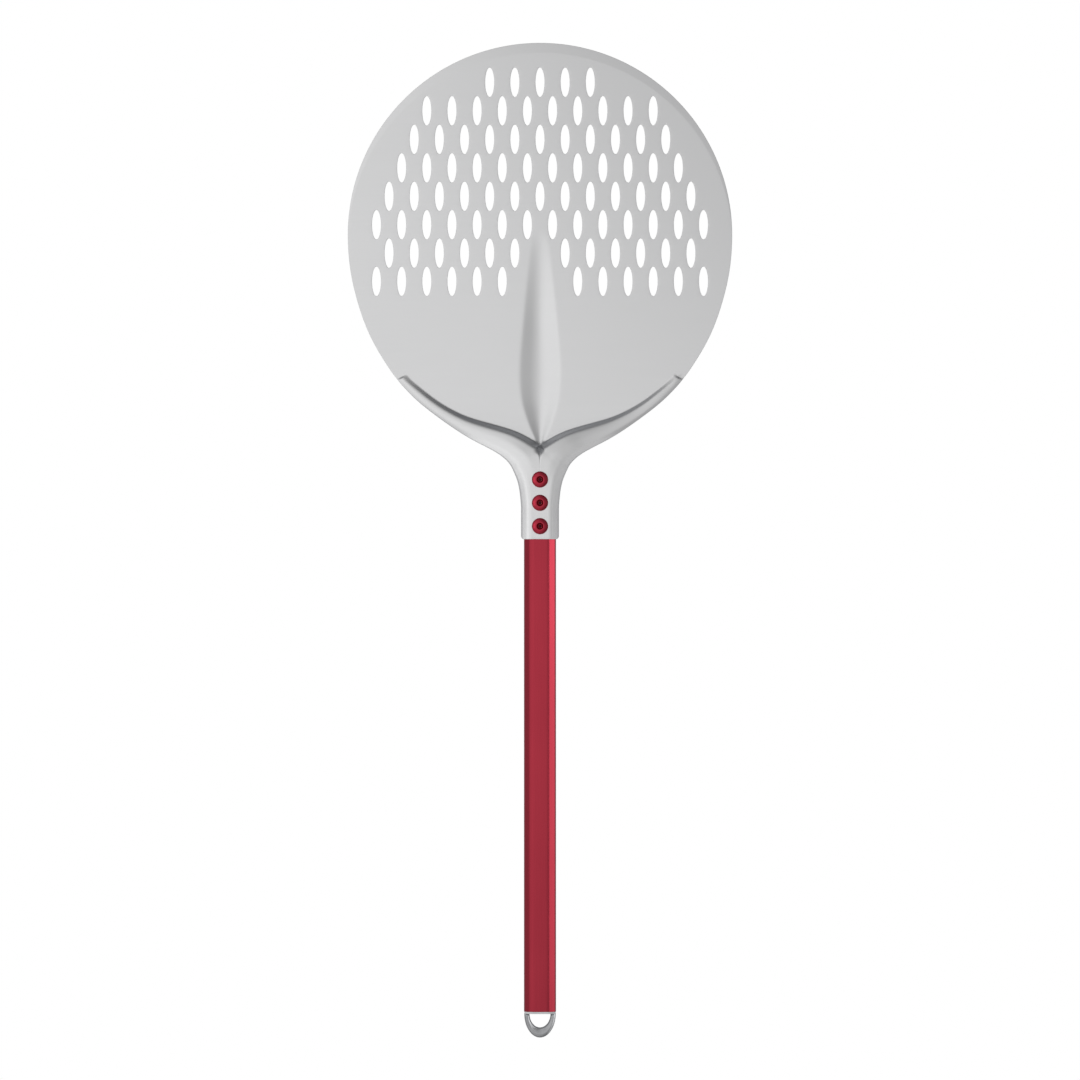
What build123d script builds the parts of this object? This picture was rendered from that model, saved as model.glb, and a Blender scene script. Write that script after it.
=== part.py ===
from build123d import *
import math
import os

os.makedirs("parts", exist_ok=True)

# ---------------------------------------------------------------------------
# Perforated pizza peel: a pressed aluminium head riveted to an eight-sided
# aluminium tube, with a plug and a hanging loop in the tube's far end.
# Millimetres. The peel lies with its blade level, on the belly of the blade's
# channel and on the two lips under the neck. +Z is up, +Y points from the
# handle to the front of the blade, X runs across. The origin is at the middle
# of the whole peel's box, on the surface that the peel lies on.
# The shapes below are written about the centre of the round blade, and
# every node is moved by Y_SHIFT at the end.
# ---------------------------------------------------------------------------

# blade
BLADE_R = 165.0            # radius of the round front half
SHEET = 2.0                # thickness of the sheet
EDGE_T = 1.3               # thickness left at the milled front edge
BEVEL_W = 8.5              # width of the milled bevel at the very front

# perforations: upright ellipses in staggered rows
SLOT_W = 7.8
SLOT_L = 25.4
SLOT_PITCH = 21.6
SLOT_ROWS = [              # (y, first offset from the middle, count each side, one in the middle)
    (131.2, 21.6, 2, True),
    (106.7, 10.8, 5, False),
    (82.2, 21.6, 5, True),
    (57.7, 10.8, 6, False),
    (33.3, 21.6, 6, True),
    (8.9, 10.8, 7, False),
    (-15.5, 21.6, 6, False),
    (-39.75, 32.4, 6, False),
]

# outline of the lower half of the blade, right side: (x, y)
OUTLINE = [
    (165.0, 0.0), (164.5, -14.4), (161.8, -36.0), (156.7, -57.1),
    (146.7, -84.75), (132.0, -110.8), (124.4, -121.6), (113.0, -134.6),
    (101.7, -145.2), (89.5, -155.0), (76.6, -164.2), (63.0, -173.0),
    (50.2, -180.1),
]

# stiffening channel pressed down along the middle: (y, half width, depth).
# Its belly is the lowest point of the blade, level with the neck's underside.
GROOVE_DEPTH = 3.8
CHANNEL = [
    (2.0, 6.4, 0.15), (-12.0, 9.2, 0.9), (-30.0, 11.8, 1.7), (-58.0, 15.2, 2.8),
    (-86.0, 17.8, GROOVE_DEPTH), (-115.0, 19.8, GROOVE_DEPTH), (-130.0, 19.3, GROOVE_DEPTH),
    (-144.0, 17.0, GROOVE_DEPTH), (-158.0, 12.0, 3.2), (-170.0, 6.6, 2.1), (-179.0, 2.4, 1.0),
]
BLADE_Z0 = GROOVE_DEPTH    # underside of the flat of the blade
BLADE_Z1 = GROOVE_DEPTH + SHEET

# handle tube: eight-sided, wider than deep
TUBE_W = 27.5
TUBE_D = 20.0
TUBE_C = 5.75              # run of each corner's 45 degree flat
TUBE_WALL = 1.2
TUBE_TOP_Y = -207.0        # end inside the neck
TUBE_END_Y = -666.3        # free end
FIT_GAP = 0.05             # clearance between fitted faces
TUBE_Z0 = SHEET + FIT_GAP  # underside of the tube
TUBE_Z1 = TUBE_Z0 + TUBE_D
TUBE_ZM = (TUBE_Z0 + TUBE_Z1) / 2

# neck that wraps the tube
NECK_W = 32.5
NECK_END_Y = -261.0
NECK_TOP = TUBE_Z1 + FIT_GAP + SHEET
NECK_FLAT = 10.2           # half width of the flat on top
NECK_C = NECK_W / 2 - NECK_FLAT
NECK_SLOT = 11.0           # gap between the two lips on the underside

# blind rivets, large flange
RIVET_Y = [-210.0, -230.0, -250.0]
RIVET_HEAD_D = 14.0
RIVET_HEAD_H = 2.3
RIVET_BODY_D = 4.8
RIVET_HOLE_D = 4.9
RIVET_BORE_D = 2.8
MANDREL_D = 2.7

# end plug and hanging loop
PLUG_FLANGE = 1.8
PLUG_DEPTH = 16.0
LOOP_W = 27.0
LOOP_END_Y = -688.7
LOOP_OPEN_W = 18.0
LOOP_OPEN_Y = -680.0       # lowest point of the opening
LOOP_T = 6.0
LEG_W = 4.0
LEG_X = 9.5                # middle of each leg inside the plug
LEG_L = 12.0

Y_SHIFT = -(BLADE_R + LOOP_END_Y) / 2


def save(shape, name, color=None):
    shape = Pos(0, Y_SHIFT, 0) * shape
    solids = shape.solids()
    out = solids[0] if len(solids) == 1 else Compound(children=solids)
    out.label = name
    export_step(out, f"parts/{name}.step")
    print(f"{name}: {len(solids)} solid, {sum(s.volume for s in solids):.1f} mm3")


def octagon(w, d, c, zm, y):
    """Closed eight-sided wire in the plane across Y at y."""
    a, b = w / 2, d / 2
    pts = [(-a, -b + c), (-a + c, -b), (a - c, -b), (a, -b + c),
           (a, b - c), (a - c, b), (-a + c, b), (-a, b - c)]
    return Wire.make_polygon([Vector(x, y, zm + z) for x, z in pts], close=True)


def octagon_prism(w, d, c, zm, y0, y1):
    return extrude(Face(octagon(w, d, c, zm, y0)), amount=abs(y1 - y0), dir=(0, math.copysign(1, y1 - y0), 0))


# ---------------------------------------------------------------------------
# Head: one pressed sheet
# ---------------------------------------------------------------------------

# Stations of the raised shoulder on the right half, from the arm's tip to the
# end of the neck: inner foot (x, y), outer foot (x, y), heights of the inner
# foot, the top of the inner wall, the crown, the outer shoulder, the top of the
# side and the bottom of the side, and how far across the wall's top, the crown
# and the outer shoulder are.
ZB = BLADE_Z1
ZN = NECK_TOP
STATIONS = [
    ((115.5, -122.2), (121.6, -125.2), ZB, 7.0, 7.5, 7.2, 5.4, 3.8, 0.24, 0.50, 0.78),
    ((99.0, -136.3), (106.3, -141.4), ZB, 8.2, 8.8, 8.4, 6.0, 3.6, 0.20, 0.48, 0.80),
    ((82.0, -148.1), (89.5, -155.0), ZB, 9.2, 10.2, 9.6, 6.6, 3.3, 0.21, 0.48, 0.80),
    ((65.0, -156.5), (74.6, -165.6), ZB, 10.6, 12.0, 11.2, 7.4, 2.9, 0.21, 0.48, 0.80),
    ((47.0, -162.0), (57.9, -175.9), ZB, 12.6, 14.6, 13.6, 8.6, 2.4, 0.20, 0.47, 0.80),
    ((30.0, -166.2), (42.5, -183.9), ZB, 14.8, 17.6, 16.4, 10.2, 1.7, 0.21, 0.47, 0.80),
    ((15.0, -171.5), (31.5, -191.0), ZB, 17.2, 20.6, 19.4, 12.4, 0.9, 0.22, 0.49, 0.80),
    ((0.0, -180.0), (24.6, -199.0), ZB, 19.2, 22.8, 21.8, 14.8, 0.3, 0.22, 0.50, 0.80),
    ((0.0, -191.0), (20.4, -208.2), 17.2, 21.4, 23.5, 22.8, 16.6, 0.0, 0.18, 0.42, 0.74),
    ((0.0, -203.0), (18.1, -216.6), 23.2, 23.5, 24.0, 23.8, 17.6, 0.0, 0.22, 0.44, 0.68),
    ((0.0, -218.0), (16.9, -225.6), ZN, ZN, ZN, ZN, 17.9, 0.0, 0.25, 0.45, 0.64),
    ((0.0, -234.0), (NECK_W / 2, -234.0), ZN, ZN, ZN, ZN, 18.05, 0.0, 0.25, 0.45, NECK_FLAT / (NECK_W / 2)),
    ((0.0, NECK_END_Y), (NECK_W / 2, NECK_END_Y), ZN, ZN, ZN, ZN, 18.05, 0.0, 0.25, 0.45, NECK_FLAT / (NECK_W / 2)),
]


def station_wire(st, inset):
    """Closed section of the shoulder. inset 0 is the outer skin; a positive
    inset is the hollow under it, which runs on through the underside."""
    (ax, ay), (bx, by), za, zw, zc, zo, zs, ze, uw, uc, uo = st
    length = math.hypot(bx - ax, by - ay)
    t = inset
    closed = ax < 0.001 and ay < -180.1
    if t == 0:
        low = ze if closed else max(ze, BLADE_Z0 - 3.6)
        foot = ze if closed else BLADE_Z0
        prof = [(0, foot), (0, za), (uw * length, zw), (uc * length, zc),
                (uo * length, zo), (length, zs), (length, low)]
    else:
        u0 = 0.0 if closed else min(1.1 * t, 0.30 * length)
        u1 = length - min(t, 0.30 * length)
        w = u1 - u0
        low = (za - t) if closed else BLADE_Z0 + 0.2
        prof = [(u0, -1), (u0, low), (u0 + uw * w, max(zw - 1.15 * t, BLADE_Z0 + 0.4)),
                (u0 + uc * w, max(zc - t, BLADE_Z0 + 0.6)), (u0 + uo * w, max(zo - 1.1 * t, BLADE_Z0 + 0.5)),
                (u1, max(zs - 0.6 * t, BLADE_Z0 + 0.2)), (u1, -1)]
    dx, dy = (bx - ax) / length, (by - ay) / length
    return Wire.make_polygon([Vector(ax + dx * u, ay + dy * u, z) for u, z in prof], close=True)


outer_half = Solid.make_loft([station_wire(s, 0) for s in STATIONS], ruled=True)
hollow_half = Solid.make_loft([station_wire(s, SHEET) for s in STATIONS[:11]], ruled=True)

# blade: circle in front, long curve behind, ending along the foot of the arms
right = [Vector(x, y) for x, y in OUTLINE]
foot = [Vector(s[0][0], s[0][1]) for s in STATIONS[:8]]
outer = [Vector(s[1][0], s[1][1]) for s in STATIONS[:8]]
tucked = []
for a, b in zip(foot, outer):
    d = (b - a).normalized()
    tucked.append(a + d * 0.9)
tucked[-1] = Vector(0, -181.0)
tip_out = OUTLINE.index((124.4, -121.6))
edge_right = Spline(right[:tip_out + 1] + [Vector(121.6, -125.2)], tangents=[Vector(0, -1), Vector(-0.62, -0.78)])
arms_right = Polyline([Vector(121.6, -125.2)] + tucked)
front = ThreePointArc((-BLADE_R, 0), (0, BLADE_R), (BLADE_R, 0))
edge_left = mirror(edge_right, about=Plane.YZ)
arms_left = mirror(arms_right, about=Plane.YZ)
blade_face = Face(Wire([e for w in (front, edge_right, arms_right, arms_left, edge_left) for e in w.edges()]))
slots = []
for y, first, count, middle in SLOT_ROWS:
    xs = [first + i * SLOT_PITCH for i in range(count)]
    xs = [-x for x in xs] + xs + ([0.0] if middle else [])
    slots += [Pos(x, y) * Ellipse(SLOT_W / 2, SLOT_L / 2) for x in xs]
print("perforations:", len(slots))
blade = Pos(0, 0, BLADE_Z0) * extrude(Sketch() + blade_face - slots, amount=SHEET, dir=(0, 0, 1))

# milled bevel of the front edge, widest at the very front, gone at the sides
r_sum = BLADE_R ** 2 / (BLADE_R - BEVEL_W)
BEVEL_R = (BLADE_R - BEVEL_W + r_sum) / 2
BEVEL_E = (r_sum - (BLADE_R - BEVEL_W)) / 2
slope = (SHEET - EDGE_T) / BEVEL_W
cut_face = Face(Wire.make_polygon([
    Vector(BEVEL_R, 0, BLADE_Z1), Vector(BEVEL_R + 14, 0, BLADE_Z1 - 14 * slope),
    Vector(BEVEL_R + 14, 0, BLADE_Z1 + 3), Vector(BEVEL_R, 0, BLADE_Z1 + 3)], close=True))
bevel_cut = Pos(0, -BEVEL_E, 0) * revolve(cut_face, axis=Axis.Z, revolution_arc=360)
bevel_cut = bevel_cut & (Pos(0, 150, 0) * Box(400, 300, 40))
blade = blade - bevel_cut


def channel_wire(y, w, h, upper):
    """Closed section of the channel: the solid below its underside when
    upper is False, or the space above its upper face when it is True."""
    k = [(1.0, 0.0), (0.86, 0.10), (0.62, 0.50), (0.34, 0.86), (0.10, 1.0)]
    if upper:
        top, z0 = BLADE_Z1 + 1.0, BLADE_Z1
    else:
        top, z0 = BLADE_Z1 - 0.5, BLADE_Z0
    half = [(q * w, z0 - d * h) for q, d in k]
    prof = [(-x, z) for x, z in half] + [(x, z) for x, z in half[::-1]]
    prof = [(-w, top)] + prof + [(w, top)]
    return Wire.make_polygon([Vector(x, y, z) for x, z in prof], close=True)


belly = Solid.make_loft([channel_wire(*s, False) for s in CHANNEL], ruled=True)
channel = Solid.make_loft([channel_wire(y, max(w - 0.5, 0.8 * w), h, True) for y, w, h in CHANNEL], ruled=True)
blade = (blade + belly) - channel

# shoulders and neck
shoulder = outer_half - hollow_half
shoulder = shoulder + mirror(shoulder, about=Plane.YZ)
bore = octagon_prism(TUBE_W + 2 * FIT_GAP, TUBE_D + 2 * FIT_GAP, TUBE_C, TUBE_ZM, TUBE_TOP_Y + 1.0, NECK_END_Y - 2)
slot_cut = Pos(0, (-196 + NECK_END_Y - 2) / 2, 0) * Box(NECK_SLOT, abs(-196 - NECK_END_Y + 2), 2 * SHEET + 2)
shoulder = shoulder - bore - slot_cut
# lower corners of the neck follow the tube's eight sides
for sx in (1, -1):
    tri = Face(Wire.make_polygon([
        Vector(sx * (NECK_W / 2 + 0.01 - NECK_C), -214, -0.01), Vector(sx * (NECK_W / 2 + 6), -214, -0.01),
        Vector(sx * (NECK_W / 2 + 6), -214, NECK_C + 5.9), Vector(sx * NECK_W / 2, -214, NECK_C - 0.01)], close=True))
    shoulder = shoulder - extrude(tri, amount=50, dir=(0, -1, 0))

head = blade + shoulder
for y in RIVET_Y:
    head = head - Pos(0, y, NECK_TOP - 1) * Cylinder(RIVET_HOLE_D / 2, 6)
save(head, "peel_head")

# ---------------------------------------------------------------------------
# Handle tube
# ---------------------------------------------------------------------------
tube = octagon_prism(TUBE_W, TUBE_D, TUBE_C, TUBE_ZM, TUBE_TOP_Y, TUBE_END_Y)
inner_c = TUBE_C - TUBE_WALL * (2 - math.sqrt(2)) / 1.0 * 0.5
tube = tube - octagon_prism(TUBE_W - 2 * TUBE_WALL, TUBE_D - 2 * TUBE_WALL, inner_c, TUBE_ZM,
                            TUBE_TOP_Y + 1, TUBE_END_Y - 1)
for y in RIVET_Y:
    tube = tube - Pos(0, y, TUBE_Z1 - 1) * Cylinder(RIVET_HOLE_D / 2, 6)
save(tube, "handle_tube")

# ---------------------------------------------------------------------------
# Blind rivets: flanged body with the bulb inside the tube, and the steel
# mandrel left in each after it has snapped
# ---------------------------------------------------------------------------
zt = NECK_TOP                       # underside of the flange
zb = TUBE_Z1 - TUBE_WALL            # inside face of the tube's top wall
rb, rh, ro = RIVET_BODY_D / 2, RIVET_HEAD_D / 2, RIVET_BORE_D / 2
body_prof = [
    (rb, zt), (rh - 0.25, zt), (rh, zt + 0.35), (rh - 0.5, zt + 0.95), (rh - 1.6, zt + 1.65),
    (4.3, zt + 2.15), (3.7, zt + RIVET_HEAD_H), (3.1, zt + 2.15), (2.4, zt + 1.45), (ro, zt + 1.25),
    (ro, zb - 5.2), (rb - 0.15, zb - 5.2), (rb + 0.5, zb - 4.4), (rb + 1.1, zb - 2.4), (rb + 1.0, zb - 0.9),
    (rb + 0.35, zb - 0.02), (rb, zb - 0.02),
]
mand_prof = [
    (0, zt + 0.55), (MANDREL_D / 2 - 0.35, zt + 0.75), (MANDREL_D / 2, zt + 0.4), (MANDREL_D / 2, zb - 5.22),
    (2.15, zb - 5.22), (2.15, zb - 6.4), (1.5, zb - 7.1), (0, zb - 7.3),
]


def turned(prof, y):
    face = Face(Wire.make_polygon([Vector(r, 0, z) for r, z in prof], close=True))
    return Pos(0, y, 0) * revolve(face, axis=Axis.Z, revolution_arc=360)


for y, where in zip(RIVET_Y, ("front", "middle", "rear")):
    save(turned(body_prof, y), f"rivet_{where}")
    save(turned(mand_prof, y), f"rivet_mandrel_{where}")

# ---------------------------------------------------------------------------
# End plug and hanging loop
# ---------------------------------------------------------------------------
in_w, in_d = TUBE_W - 2 * TUBE_WALL - 2 * FIT_GAP, TUBE_D - 2 * TUBE_WALL - 2 * FIT_GAP
flange = octagon_prism(TUBE_W - 0.6, TUBE_D - 0.6, TUBE_C - 0.2, TUBE_ZM, TUBE_END_Y, TUBE_END_Y - PLUG_FLANGE)
stem = octagon_prism(in_w, in_d, inner_c, TUBE_ZM, TUBE_END_Y - 0.5, TUBE_END_Y + PLUG_DEPTH)
plug = flange + stem
plug = plug - octagon_prism(LEG_X * 2 - LEG_W - 3.0, in_d - 4.0, 2.0, TUBE_ZM, TUBE_END_Y + 2.0, TUBE_END_Y + PLUG_DEPTH + 1)
leg_y0, leg_y1 = TUBE_END_Y - PLUG_FLANGE, TUBE_END_Y - PLUG_FLANGE + LEG_L
for sx in (1, -1):
    pocket = Pos(sx * LEG_X, (leg_y0 - 1 + leg_y1 + FIT_GAP) / 2, TUBE_ZM) * Box(
        LEG_W + 2 * FIT_GAP, leg_y1 - leg_y0 + 1 + FIT_GAP, LOOP_T - 1.0 + 2 * FIT_GAP)
    plug = plug - pocket
save(plug, "end_plug")

loop_top = TUBE_END_Y - PLUG_FLANGE - FIT_GAP
oa, ob = LOOP_W / 2, loop_top - LOOP_END_Y
ia, ib = LOOP_OPEN_W / 2, loop_top - LOOP_OPEN_Y
ring = Pos(0, loop_top) * Ellipse(oa, ob) - Pos(0, loop_top) * Ellipse(ia, ib)
ring = ring & (Pos(0, loop_top - 30) * Rectangle(60, 60))
loop = Pos(0, 0, TUBE_ZM - LOOP_T / 2) * extrude(ring, amount=LOOP_T)
loop = chamfer(loop.edges().filter_by(GeomType.ELLIPSE), 1.3)
for sx in (1, -1):
    loop = loop + Pos(sx * LEG_X, (loop_top - 0.5 + leg_y1) / 2, TUBE_ZM) * Box(LEG_W, leg_y1 - loop_top + 0.5, LOOP_T - 1.0)
save(loop, "hanging_loop")
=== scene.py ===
import math

import bmesh
import bpy
import numpy as np
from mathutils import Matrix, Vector
from mathutils.geometry import delaunay_2d_cdt


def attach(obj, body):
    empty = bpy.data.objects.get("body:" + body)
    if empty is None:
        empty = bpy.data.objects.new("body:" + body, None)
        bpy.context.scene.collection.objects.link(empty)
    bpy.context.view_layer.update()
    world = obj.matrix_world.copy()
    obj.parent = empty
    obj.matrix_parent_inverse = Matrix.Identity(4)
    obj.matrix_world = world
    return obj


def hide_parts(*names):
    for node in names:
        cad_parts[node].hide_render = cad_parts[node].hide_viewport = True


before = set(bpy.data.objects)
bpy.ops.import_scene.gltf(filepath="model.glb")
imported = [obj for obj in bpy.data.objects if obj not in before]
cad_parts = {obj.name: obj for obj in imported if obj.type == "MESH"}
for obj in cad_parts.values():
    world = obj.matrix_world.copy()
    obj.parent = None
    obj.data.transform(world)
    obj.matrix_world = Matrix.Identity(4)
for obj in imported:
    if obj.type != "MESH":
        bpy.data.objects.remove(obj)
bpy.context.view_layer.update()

# ---------------------------------------------------------------------------
# Shapes are written in millimetres about the centre of the round blade, as in
# the CAD model, and moved by Y_SHIFT when a mesh is made.
# ---------------------------------------------------------------------------
Y_SHIFT = 261.85
R = 165.0
T = 2.0
ZBOT = 3.8
ZB = 5.8
EDGE_T = 1.3
BEVEL_W = 8.5
NECK_TOP = 24.1
NECK_W = 32.5
NECK_END = -261.0
TUBE_ZM = 12.05

r_sum = R ** 2 / (R - BEVEL_W)
BEVEL_R = (R - BEVEL_W + r_sum) / 2
BEVEL_E = (r_sum - (R - BEVEL_W)) / 2
BEVEL_SLOPE = (T - EDGE_T) / BEVEL_W

SLOT_W, SLOT_L, SLOT_PITCH = 7.8, 25.4, 21.6
SLOT_ROWS = [
    (131.2, 21.6, 2, True), (106.7, 10.8, 5, False), (82.2, 21.6, 5, True), (57.7, 10.8, 6, False),
    (33.3, 21.6, 6, True), (8.9, 10.8, 7, False), (-15.5, 21.6, 6, False), (-39.75, 32.4, 6, False),
]
OUTLINE = [
    (165.0, 0.0), (164.5, -14.4), (161.8, -36.0), (156.7, -57.1), (146.7, -84.75),
    (132.0, -110.8), (124.4, -121.6), (122.9, -123.5),
]
CHANNEL = [
    (3.0, 5.6, 0.0), (-2.0, 7.0, 0.16), (-12.0, 8.9, 0.55), (-30.0, 11.2, 1.2), (-58.0, 14.4, 2.35),
    (-86.0, 17.2, 3.45), (-115.0, 19.4, 3.8), (-130.0, 19.0, 3.8),
    (-144.0, 16.9, 3.8), (-158.0, 12.2, 3.3), (-170.0, 6.9, 2.3), (-179.0, 2.6, 1.2), (-184.0, 1.6, 0.6),
]
# inner foot, outer foot, heights of foot, wall top, crown, outer shoulder, side top,
# side bottom, fractions across of wall top, crown and outer shoulder
STATIONS = [
    ((116.9, -120.4), (122.9, -123.5), 5.8, 5.8, 5.8, 5.8, 5.8, 3.8, 0.20, 0.40, 0.60),
    ((115.5, -122.2), (121.6, -125.2), 5.8, 7.35, 7.6, 7.3, 6.5, 3.8, 0.20, 0.46, 0.66),
    ((107.6, -129.6), (114.2, -133.6), 5.8, 8.15, 8.4, 8.0, 7.0, 3.7, 0.19, 0.47, 0.72),
    ((99.0, -136.3), (106.3, -141.4), 5.8, 8.8, 9.1, 8.7, 7.5, 3.6, 0.18, 0.48, 0.76),
    ((82.0, -148.1), (89.5, -155.0), 5.8, 9.9, 10.3, 9.85, 8.3, 3.3, 0.17, 0.48, 0.80),
    ((65.0, -156.5), (74.6, -165.6), 5.8, 11.55, 12.1, 11.5, 9.5, 2.9, 0.16, 0.48, 0.80),
    ((47.0, -162.0), (57.9, -175.9), 5.8, 13.95, 14.7, 14.0, 11.4, 2.4, 0.15, 0.47, 0.80),
    ((30.0, -166.2), (42.5, -183.9), 5.8, 16.75, 17.7, 16.9, 13.7, 1.7, 0.15, 0.47, 0.80),
    ((15.0, -171.5), (31.5, -191.0), 5.8, 19.5, 20.8, 19.9, 15.9, 0.9, 0.16, 0.49, 0.80),
    ((0.0, -180.0), (24.6, -199.0), 4.8, 21.5, 22.9, 21.8, 16.8, 0.3, 0.16, 0.50, 0.80),
    ((0.0, -184.0), (23.0, -202.3), 15.4, 22.25, 23.2, 22.2, 17.2, 0.15, 0.125, 0.46, 0.79),
    ((0.0, -188.0), (21.6, -205.4), 21.3, 22.8, 23.5, 22.6, 17.5, 0.05, 0.065, 0.42, 0.77),
    ((0.0, -193.5), (20.0, -209.4), 23.1, 23.3, 23.75, 23.1, 17.8, 0.0, 0.03, 0.38, 0.75),
    ((0.0, -203.0), (18.1, -216.6), 23.8, 23.85, 24.03, 23.8, 17.95, 0.0, 0.04, 0.33, 0.70),
    ((0.0, -218.0), (16.9, -225.6), 24.07, 24.08, 24.1, 24.1, 18.0, 0.0, 0.10, 0.26, 0.65),
    ((0.0, -234.0), (16.25, -234.0), 24.1, 24.1, 24.1, 24.1, 18.05, 0.0, 0.10, 0.22, 0.6277),
    ((0.0, -247.0), (16.25, -247.0), 24.1, 24.1, 24.1, 24.1, 18.05, 0.0, 0.10, 0.22, 0.6277),
    ((0.0, -261.0), (16.25, -261.0), 24.1, 24.1, 24.1, 24.1, 18.05, 0.0, 0.10, 0.22, 0.6277),
]
APEX = 9


# ---------------------------------------------------------------------------
# numbers
# ---------------------------------------------------------------------------
def pchip(x, y, q):
    """Smooth curve through points that doesn't overshoot them."""
    x, y, q = np.asarray(x, float), np.asarray(y, float), np.asarray(q, float)
    h = np.diff(x)
    d = np.diff(y) / h
    m = np.zeros_like(y)
    for i in range(1, len(x) - 1):
        if d[i - 1] * d[i] > 0:
            w1, w2 = 2 * h[i] + h[i - 1], h[i] + 2 * h[i - 1]
            m[i] = (w1 + w2) / (w1 / d[i - 1] + w2 / d[i])
    m[0], m[-1] = d[0], d[-1]
    k = np.clip(np.searchsorted(x, q) - 1, 0, len(x) - 2)
    t = (q - x[k]) / h[k]
    a = (1 + 2 * t) * (1 - t) ** 2
    b = t * (1 - t) ** 2
    c = t * t * (3 - 2 * t)
    e = t * t * (t - 1)
    return a * y[k] + b * h[k] * m[k] + c * y[k + 1] + e * h[k] * m[k + 1]


def spline(x, y, q, s0=None, s1=None):
    """Cubic spline through points, with free or given end slopes."""
    x, y, q = np.asarray(x, float), np.asarray(y, float), np.asarray(q, float)
    n = len(x)
    h = np.diff(x)
    A = np.zeros((n, n))
    r = np.zeros(n)
    for i in range(1, n - 1):
        A[i, i - 1], A[i, i], A[i, i + 1] = h[i - 1], 2 * (h[i - 1] + h[i]), h[i]
        r[i] = 6 * ((y[i + 1] - y[i]) / h[i] - (y[i] - y[i - 1]) / h[i - 1])
    if s0 is None:
        A[0, 0] = 1
    else:
        A[0, 0], A[0, 1] = 2 * h[0], h[0]
        r[0] = 6 * ((y[1] - y[0]) / h[0] - s0)
    if s1 is None:
        A[-1, -1] = 1
    else:
        A[-1, -1], A[-1, -2] = 2 * h[-1], h[-1]
        r[-1] = 6 * (s1 - (y[-1] - y[-2]) / h[-1])
    M = np.linalg.solve(A, r)
    k = np.clip(np.searchsorted(x, q) - 1, 0, n - 2)
    a, b = x[k + 1] - q, q - x[k]
    return (M[k] * a ** 3 + M[k + 1] * b ** 3) / (6 * h[k]) + (y[k] / h[k] - M[k] * h[k] / 6) * a + (
        y[k + 1] / h[k] - M[k + 1] * h[k] / 6) * b


def smooth(e0, e1, v):
    t = np.clip((v - e0) / (e1 - e0), 0, 1)
    return t * t * (3 - 2 * t)


_cy = [-c[0] for c in CHANNEL]
_cw = [c[1] for c in CHANNEL]
_cd = [c[2] for c in CHANNEL]
_q = np.linspace(0, 1, 401)
_sl = np.clip(_q / 0.48, 0, 1) ** 0.8 * (1 - smooth(0.76, 1.0, _q))
_dep = np.concatenate([[0], np.cumsum((_sl[1:] + _sl[:-1]) / 2 * np.diff(_q))])
_dep = 1 - _dep / _dep[-1]


def channel_depth(x, y):
    yy = np.clip(-np.asarray(y, float), _cy[0], _cy[-1])
    w = np.interp(yy, _fy, _fw)
    d = np.interp(yy, _fy, _fd)
    q = np.clip(np.abs(x) / w, 0, 1)
    out = d * np.interp(q, _q, _dep)
    return np.where((-np.asarray(y, float) < _cy[0]), 0.0, out)


_fy = np.linspace(_cy[0], _cy[-1], 600)
_fw = spline(_cy, _cw, _fy)
_fd = np.maximum(pchip(_cy, _cd, _fy), 0)


def z_top(x, y):
    x, y = np.asarray(x, float), np.asarray(y, float)
    dist = np.hypot(x, y + BEVEL_E)
    bevel = np.where(y > 0, BEVEL_SLOPE * np.maximum(0, dist - BEVEL_R), 0)
    return ZB - bevel - channel_depth(x, y)


def z_bot(x, y):
    return ZBOT - channel_depth(x, y)


# ---------------------------------------------------------------------------
# the head's shoulders and neck: closed sections swept from the arm's tip to
# the neck's end
# ---------------------------------------------------------------------------
A0 = np.array([s[0] for s in STATIONS])
B0 = np.array([s[1] for s in STATIONS])
P = np.array([s[2:] for s in STATIONS])
# the inner wall leans: its foot stands a little further in than its top
for i in range(APEX):
    d_ = B0[i] - A0[i]
    l_ = float(np.hypot(*d_))
    s_ = float((1.5 + 0.5 * smooth(90.0, 116.0, A0[i, 0])) * smooth(10.0, 60.0, A0[i, 0]))
    A0[i] -= d_ / l_ * s_
    P[i, 6:9] = (P[i, 6:9] * l_ + s_) / (l_ + s_)
par = np.concatenate([[0], np.cumsum(np.hypot(*np.diff(B0, axis=0).T))])
pa = par[APEX]
cols = []
for i in range(len(par) - 1):
    n = max(2, int(math.ceil((par[i + 1] - par[i]) / (0.45 if i == 0 else 1.25))))
    cols += list(np.linspace(par[i], par[i + 1], n, endpoint=False))
cols = np.array(cols + [par[-1]])
ia = int(np.argmin(np.abs(cols - pa)))
cols[ia] = pa
NC = len(cols)

Bx = spline(par, B0[:, 0], cols, s1=0.0)
By = spline(par, B0[:, 1], cols, s1=-1.0)
NS = len(STATIONS) - 3
straight = cols >= par[NS]
Bx[straight] = NECK_W / 2
Bx = np.maximum(Bx, NECK_W / 2)
By[straight] = B0[NS, 1] - (cols[straight] - par[NS])
Ax = np.zeros(NC)
Ay = np.zeros(NC)
va = cols <= pa
Ax[va] = spline(par[:APEX + 1], A0[:APEX + 1, 0], cols[va])
Ay[va] = spline(par[:APEX + 1], A0[:APEX + 1, 1], cols[va])
Ay[~va] = pchip(par[APEX:], A0[APEX:, 1], cols[~va])
Ax[ia], Ay[ia] = 0.0, -180.0
par_z = par.copy()
prm = np.stack([pchip(par_z, P[:, j], cols) for j in range(P.shape[1])], axis=1)
zA, zW, zC, zO, zS, zE, uW, uC, uO = prm.T
zA = np.where(va, z_top(Ax, Ay), zA)
# ramp over the first 2.3 mm of each arm and a mask of its first stretch; nothing reads either
nose = smooth(0.0, 2.3, cols) ** 0.8
first = cols < par[1]
lip = smooth(-206.0, -222.0, Ay)


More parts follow.
